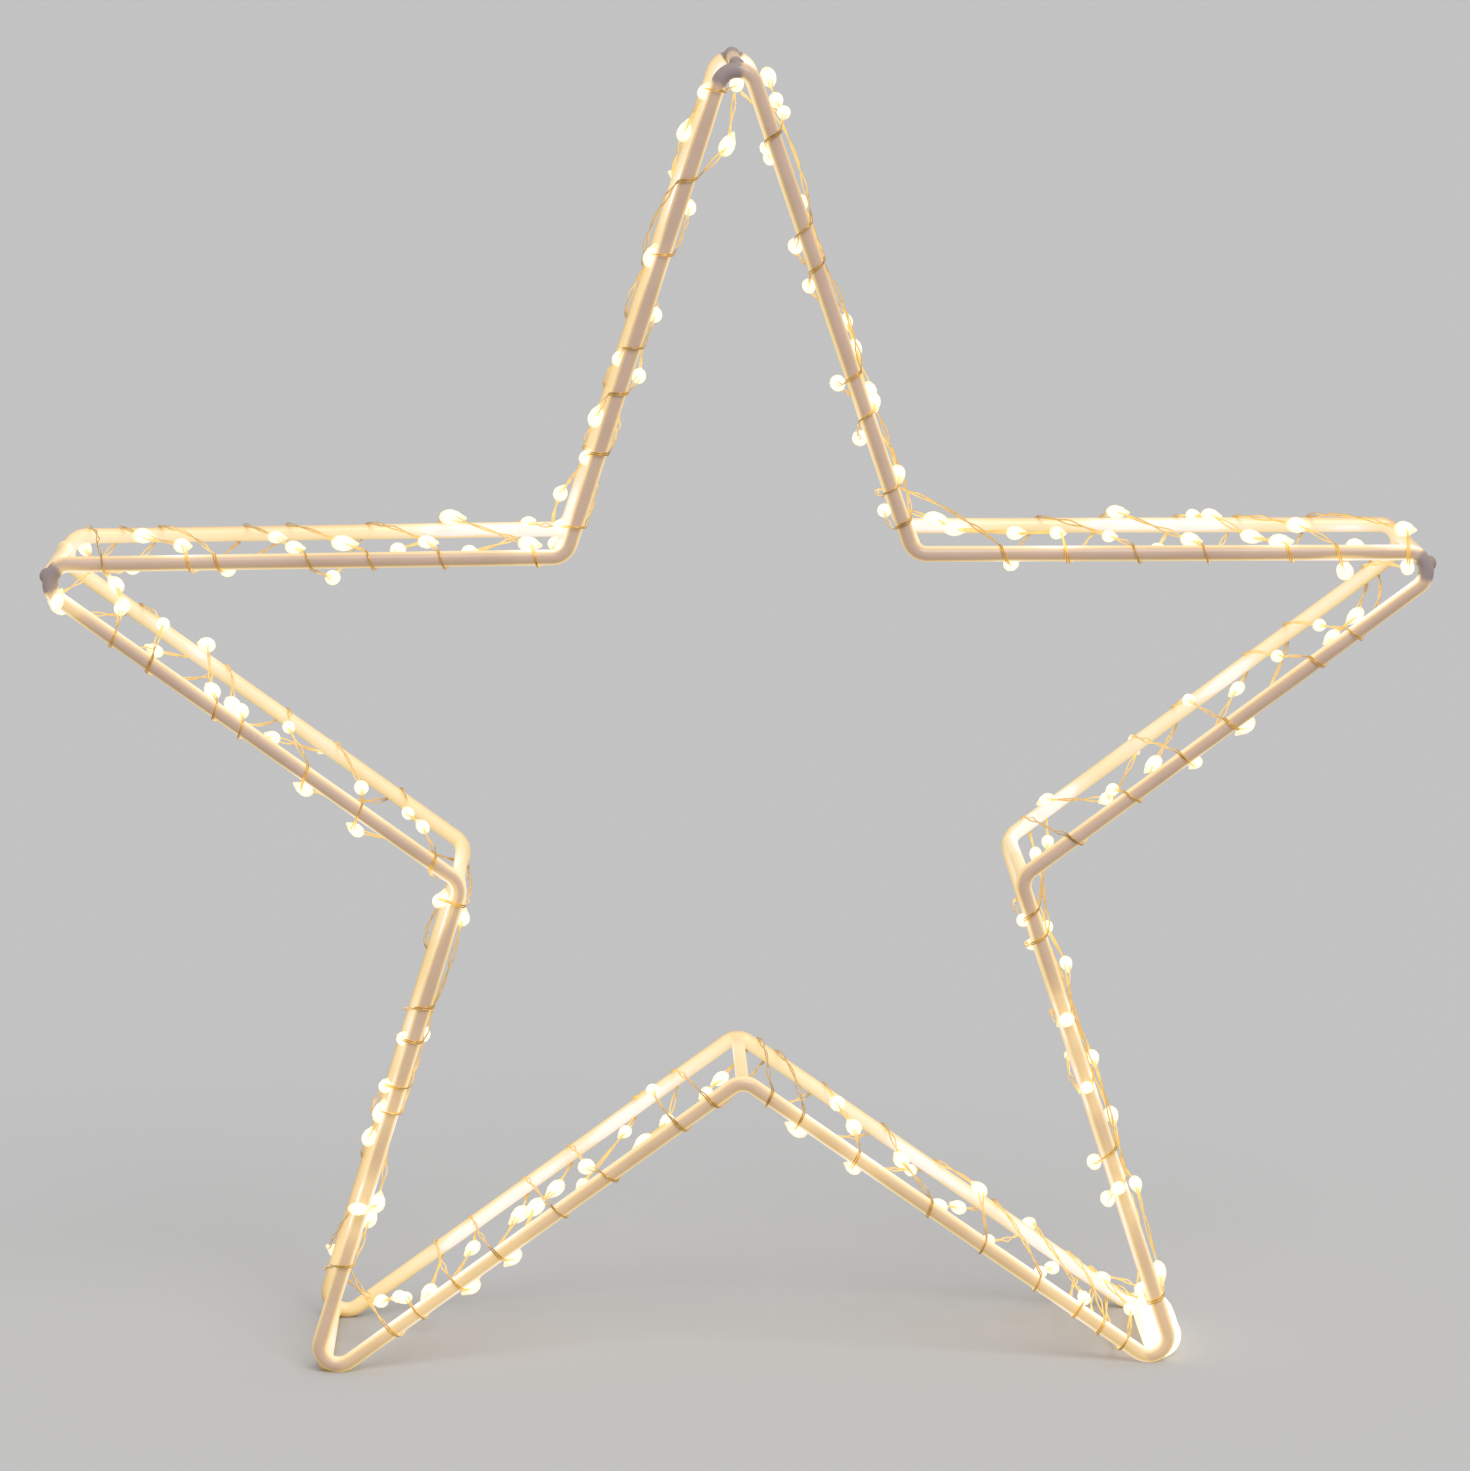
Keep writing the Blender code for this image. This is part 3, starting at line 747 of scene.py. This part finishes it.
def sideways(line):
    # a direction square to the line that turns with it as little as it can
    steps = np.gradient(line, axis=0)
    steps /= np.linalg.norm(steps, axis=1)[:, None]
    side = np.cross(steps[0], upWay)
    sides = []
    for step in steps:
        side = side - np.dot(side, step) * step
        side = side / np.linalg.norm(side)
        sides.append(side)
    sides = np.array(sides)
    return sides, np.cross(steps, sides)


sleeveMiddle = np.array(barPlace(star["sleeveCorner"]) + Vector(sleeve["offset"]))
leadIn = sleeveMiddle + np.array(route["leadIn"])
tieOff = sleeveMiddle + np.array(route["tieOff"])
line, stretches = smoothRoute(np.vstack((leadIn, routePlaces, tieOff)), wire["step"])
dropNumbers = np.flatnonzero(isDrop) + len(leadIn)
heldStretches = np.concatenate((dropNumbers - 1, dropNumbers, (0, len(routePlaces) + len(leadIn))))
held = np.isin(stretches, heldStretches)
held[[0, -1]] = True
line = pullTight(line, held)
across, beyond = sideways(line)
lineFree = np.clip(rodGaps(line).min(axis=1) / wire["clearFrom"], 0.0, 1.0)
run = np.concatenate(([0.0], np.cumsum(np.linalg.norm(line[1:] - line[:-1], axis=1))))


def drawWire(name, phase):
    turn = run * 2 * math.pi / wire["twistEvery"] + phase
    opened = np.clip(np.sin(run * 2 * math.pi / wire["openEvery"]), 0.0, 1.0)
    opened = 1 + wire["opens"] * lineFree * opened
    apart = (wire["apart"] * opened)[:, None]
    places = line + apart * (np.cos(turn)[:, None] * across + np.sin(turn)[:, None] * beyond)
    curve = bpy.data.curves.new(name, "CURVE")
    curve.dimensions = "3D"
    curve.bevel_depth = wire["radius"]
    curve.bevel_resolution = wire["bevel"]
    curve.use_fill_caps = True
    spline = curve.splines.new("POLY")
    spline.points.add(len(places) - 1)
    spline.points.foreach_set("co", np.column_stack((places, np.ones(len(places)))).ravel())
    made = bpy.data.objects.new(name, curve)
    bpy.context.scene.collection.objects.link(made)
    clearSelection()
    made.select_set(True)
    bpy.context.view_layer.objects.active = made
    bpy.ops.object.convert(target="MESH")
    made = bpy.context.object
    bpy.ops.object.shade_smooth()
    return made


firstWire = drawWire("wire_first", 0.0)
secondWire = drawWire("wire_second", math.pi)
hold(firstWire, wireLacquer, "light_resin")
hold(secondWire, wireLacquer, "light_resin")
print(f"wires drawn: {run[-1]:.2f} m, {len(firstWire.data.polygons)} faces each")


# Drops of resin, one over each light chip

drop = {
    "sides": 12,
    "radius": 0.00200,
    "profile": (   # along the wire and out from it, as shares of the radius
        (-1.75, 0.16), (-1.2, 0.48), (-0.66, 0.84), (0.0, 1.0), (0.55, 0.91), (0.95, 0.64),
        (1.22, 0.20),
    ),
    "size": (1.07, 0.13, 2.3),     # middling, swing to each side, and radians from drop to drop
    "length": (1.06, 0.20, 1.7),
    "depthShares": (0.25, 0.45, 0.7),   # of the wire's slope that a drop takes, the flattest first
    "tests": (     # along the drop, and how far from the rods it has to be there
        (-0.0040, 0.0004), (-0.0028, 0.0011), (0.0022, 0.0013), (0.0029, 0.0005),
    ),
    "chipSides": 9,
    "chipProfile": ((-1.12, 0.13), (-0.62, 0.73), (0.0, 0.92), (0.55, 0.79), (1.04, 0.14)),
}


def makePattern(profile, sides):
    # one closed round body along the upright, about the origin
    radius = drop["radius"]
    rings = [(Vector((0.0, 0.0, far * radius)), out * radius) for far, out in profile]
    return turnPiece("pattern", rings, sides, upWay)


def dropAxis(index, centre):
    # a drop lies flatter to the star than its wire does, where the rods leave it room
    ahead = Vector(routePlaces[index + 1] - routePlaces[index - 1]).normalized()
    for depthShare in drop["depthShares"]:
        axis = Vector((ahead.x, depthShare * ahead.y, ahead.z)).normalized()
        spots = np.array([centre + axis * far for far, _ in drop["tests"]])
        if (rodGaps(spots).min(axis=1) > [room for _, room in drop["tests"]]).all():
            return axis
    return ahead


def swung(values, index):
    # no two drops in a row are alike
    middling, swing, step = values
    return middling + swing * math.sin(step * index)


def strew(name, pattern):
    # a copy of the pattern round the wire at every light
    made = []
    for index in np.flatnonzero(isDrop):
        middlePlace = Vector((routePlaces[index + 1] + routePlaces[index - 1]) / 2)
        ahead = dropAxis(index, middlePlace)
        room = float(rodGaps(np.array([middlePlace])).min()) / drop["radius"]
        size = min(room, swung(drop["size"], index))
        longer = Matrix.Scale(swung(drop["length"], index), 4, upWay)
        turned = ahead.to_track_quat("Z", "Y").to_matrix().to_4x4()
        one = pattern.copy()
        one.data = pattern.data.copy()
        bpy.context.scene.collection.objects.link(one)
        one.data.transform(Matrix.Translation(middlePlace) @ turned @ Matrix.Scale(size, 4) @ longer)
        made.append(one)
    bpy.data.objects.remove(pattern)
    clearSelection()
    for one in made:
        one.select_set(True)
    bpy.context.view_layer.objects.active = made[0]
    bpy.ops.object.join()
    joined = bpy.context.object
    joined.name = name
    joined.data.name = name
    return joined


shells = strew("resin_drops", makePattern(drop["profile"], drop["sides"]))
hold(shells, resinGlow, "light_resin", "light_string")
chips = strew("light_chips", makePattern(drop["chipProfile"], drop["chipSides"]))
hold(chips, chipGlow, "light_resin")
print(f"drops placed: {int(isDrop.sum())}, {len(shells.data.polygons)} faces")


# The lights' shine on what is round them

shine = {
    "level": 72.0,       # a drop's brightness against a plainly lit surface
    "radius": 0.0018,
    "softest": 0.0018,   # keeps it finite close to a drop
    "wrap": 0.12,        # how far it reaches round an edge
    "all": 0.035,        # share that reaches a face turned away, off the other rods
    "lower": 10.0,       # how much more of that the front rod has between the two lower arms
    "outside": 0.5,      # share of that on their outer sides
    "armFoot": 0.1186,   # where a lower arm's middle line meets the floor, and its slope
    "armSlope": 1.5,
    "armFade": 0.004,    # distance over which the outer side's share is reached
    "edge": 0.16,        # share that reaches every face but the front rod's foremost
    "edgeFrom": 0.88,    # how squarely those look forward
    "edgeFade": 0.35,
    "foremost": 0.44,    # what is left of the light on those
    "rear": 0.88,        # what is left of it on the rear rod
    "rearSides": 0.62,   # and on its faces that look aside
    "rearFade": 1.3,     # how soon it is whole again on those that look forward
    "most": 5.0,
    "wireAll": 0.42,     # share that reaches a wire's face however it is turned
    "wireHeld": 0.65,    # what is left of it where the wire lies on a rod
    "sleeveOffset": (0.0012, 0.0, 0.002),
    "sleeveDepths": (-0.022, -0.012, -0.002, 0.008, 0.016),
    "block": 5000,       # points worked out at a time
}
sleeveLine = barPlace(star["sleeveCorner"]) + Vector(shine["sleeveOffset"])
sleeveGlow = [sleeveLine + Vector((0.0, depth, 0.0)) for depth in shine["sleeveDepths"]]
lightPlaces = np.vstack((routePlaces[isDrop], np.array(sleeveGlow)))


def keep(mesh, name, values):
    made = mesh.attributes.new(name, "FLOAT", "POINT")
    made.data.foreach_set("value", values)


def betweenArms(spots):
    # 1 between the two lower arms, less on their outer sides
    middleLine = shine["armSlope"] * (shine["armFoot"] - abs(spots[:, 0]))
    return np.clip((middleLine - spots[:, 2]) / shine["armFade"] + 1.0, shine["outside"], 1.0)


def shineOn(piece):
    spots, normals = pointsOf(piece.data), pointsOf(piece.data, "normal")
    low = np.zeros(len(spots))
    edge = np.ones(len(spots))
    kept = np.ones(len(spots))
    if piece is frontFrame:
        low = np.clip(1.0 - spots[:, 2] / star["standHeight"], 0.0, 1.0) * betweenArms(spots)
        edge = np.clip((normals[:, 1] + shine["edgeFrom"]) / shine["edgeFade"], 0.0, 1.0)
        kept = shine["foremost"] + (1 - shine["foremost"]) * edge
    if piece is rearFrame:
        forward = np.clip(-normals[:, 1] * shine["rearFade"], 0.0, 1.0)
        kept = shine["rear"] * (shine["rearSides"] + (1 - shine["rearSides"]) * forward)
    everywhere = shine["all"] * (1 + shine["lower"] * low) + shine["edge"] * edge
    light = np.zeros(len(spots))
    for start in range(0, len(spots), shine["block"]):
        block = slice(start, start + shine["block"])
        away = (lightPlaces[None, :, :] - spots[block, None, :]).astype(np.float32)
        square = np.einsum("ijk,ijk->ij", away, away)
        facing = np.einsum("ijk,ik->ij", away, normals[block].astype(np.float32)) / np.sqrt(square)
        facing = np.clip((facing + shine["wrap"]) / (1 + shine["wrap"]), 0.0, 1.0)
        reached = (facing + everywhere[block, None]) / (square + shine["softest"] ** 2)
        light[block] = reached.sum(axis=1)
    light *= shine["level"] * shine["radius"] ** 2 * kept
    keep(piece.data, "shine", np.minimum(light, shine["most"] * kept ** 2))
    return round(float(np.median(light)), 2)


def shineOnWire(piece):
    # as much as falls on the line, from the side that most of it comes from
    away = lightPlaces[None, :, :] - line[:, None, :]
    square = np.einsum("ijk,ijk->ij", away, away) + shine["softest"] ** 2
    flow = np.einsum("ijk,ij->ik", away, square ** -1.5)
    total = (1 / square).sum(axis=1)
    normals = pointsOf(piece.data, "normal")
    ring = np.minimum(np.arange(len(normals)) // wire["sides"], len(line) - 1)
    turned = np.einsum("ij,ij->i", flow[ring], normals)
    light = shine["wireAll"] * total[ring] + (1 - shine["wireAll"]) * turned
    light *= shine["wireHeld"] + (1 - shine["wireHeld"]) * lineFree[ring]
    light *= shine["level"] * shine["radius"] ** 2
    keep(piece.data, "shine", np.clip(light, 0.0, shine["most"]))
    return round(float(np.median(light)), 2)


# Painted shade, in dark patches at the tips whose joint is seen from outside, and on the top tip's
# bar and rear rod

tipShade = {
    "corners": (0, 2, 8),
    "beside": (-0.0030, 0.0003, -0.0003),   # how far left of the bar each patch lies
    "below": 0.4,        # how far below it, as a share of that
    "near": 0.0030,      # wholly in painted shade up to here
    "far": 0.0068,
    "barCorner": 0,      # the tip whose bar and rear rod get painted shade too
    "bar": 0.9,
    "barMiddleLess": 0.45,    # how much less painted shade its middle gets
    "barFrom": 0.007,    # where that starts, from the rod, and over what length
    "barOver": 0.012,
    "rearFar": 0.0042,
    "rearFade": 0.0015,
}


def patch(spots, place, far, fade):
    distance = np.linalg.norm(spots - place, axis=1)
    return np.clip((far - distance) / fade, 0.0, 1.0)


def paintTipShade(piece, corner=None):
    spots = pointsOf(piece.data)
    # painted shade at each point, from 0 to 1
    shadeShare = np.zeros(len(spots))
    for shadedCorner, beside in zip(tipShade["corners"], tipShade["beside"]):
        place = np.array(barPlace(shadedCorner))
        place += (beside, star["frontY"], -tipShade["below"] * abs(beside))
        shadeShare = np.maximum(shadeShare, patch(spots, place, tipShade["far"], tipShade["far"] - tipShade["near"]))
    if corner == tipShade["barCorner"]:
        inwards = star["rearY"] - abs(spots[:, 1]) - tipShade["barFrom"]
        middleLess = tipShade["barMiddleLess"] * np.clip(inwards / tipShade["barOver"], 0.0, 1.0)
        shadeShare = np.maximum(shadeShare, tipShade["bar"] - middleLess)
    # painted shade on the rear rod, where the top tip's bar meets it
    if piece is rearFrame:
        place = np.array(barPlace(tipShade["barCorner"])) + (0.0, star["rearY"], 0.0)
        shadeShare = patch(spots, place, tipShade["rearFar"], tipShade["rearFade"])
    keep(piece.data, "burn", shadeShare)


for piece in (frontFrame, rearFrame):
    paintTipShade(piece)
    print(piece.name, "middling shine", shineOn(piece))
for corner, piece in enumerate(bars):
    paintTipShade(piece, corner)
    print(piece.name, "middling shine", shineOn(piece))
for piece in (firstWire, secondWire):
    print(piece.name, "middling shine", shineOnWire(piece))


# Floor, light and surroundings

studio = {
    "grey": 0.533,
    "floorSize": 60.0,
    "floorColour": (0.468, 0.468, 0.468, 1.0),
    "floorRoughness": 0.9,
    "floorSpecular": 0.1,
    "worldStrength": 0.8,
    "sunStrength": 1.5,
    "sunAngle": 0.6,
    "sunTurn": (0.72, 0.0, 0.35),
}

clearSelection()
bpy.ops.mesh.primitive_plane_add(size=studio["floorSize"], location=(0.0, 0.0, 0.0))
floor = bpy.context.object
floor.name = "floor"
floorMaterial, floorShade = newMaterial("floor_grey")
feedShader(floorMaterial, floorShade, {
    "Base Color": studio["floorColour"],
    "Roughness": studio["floorRoughness"],
    "Specular IOR Level": studio["floorSpecular"],
})
dress(floor, floorMaterial)

sunData = bpy.data.lights.new("studioSun", "SUN")
sunData.energy = studio["sunStrength"]
sunData.angle = studio["sunAngle"]
sun = bpy.data.objects.new("studioSun", sunData)
sun.rotation_euler = studio["sunTurn"]
bpy.context.scene.collection.objects.link(sun)

# to the camera, in gloss and through glass the world is a plain grey; it lights at its own strength
world = bpy.data.worlds.new("studioWorld")
bpy.context.scene.world = world
world.use_nodes = True
worldShade = Shade(world.node_tree)
background = world.node_tree.nodes["Background"]
shownDirectly = worldShade.node("ShaderNodeLightPath", {}, {}, "Is Camera Ray")
for kind in ("Is Glossy Ray", "Is Transmission Ray"):
    mirrored = worldShade.node("ShaderNodeLightPath", {}, {}, kind)
    shownDirectly = worldShade.maths("MAXIMUM", shownDirectly, mirrored)
greyer = studio["grey"] - studio["worldStrength"]
worldShade.feed(background.inputs["Color"], (1.0, 1.0, 1.0, 1.0))
worldShade.feed(background.inputs["Strength"], studio["worldStrength"] + shownDirectly * greyer)
bpy.context.scene.view_settings.view_transform = "Standard"
print("studio set")
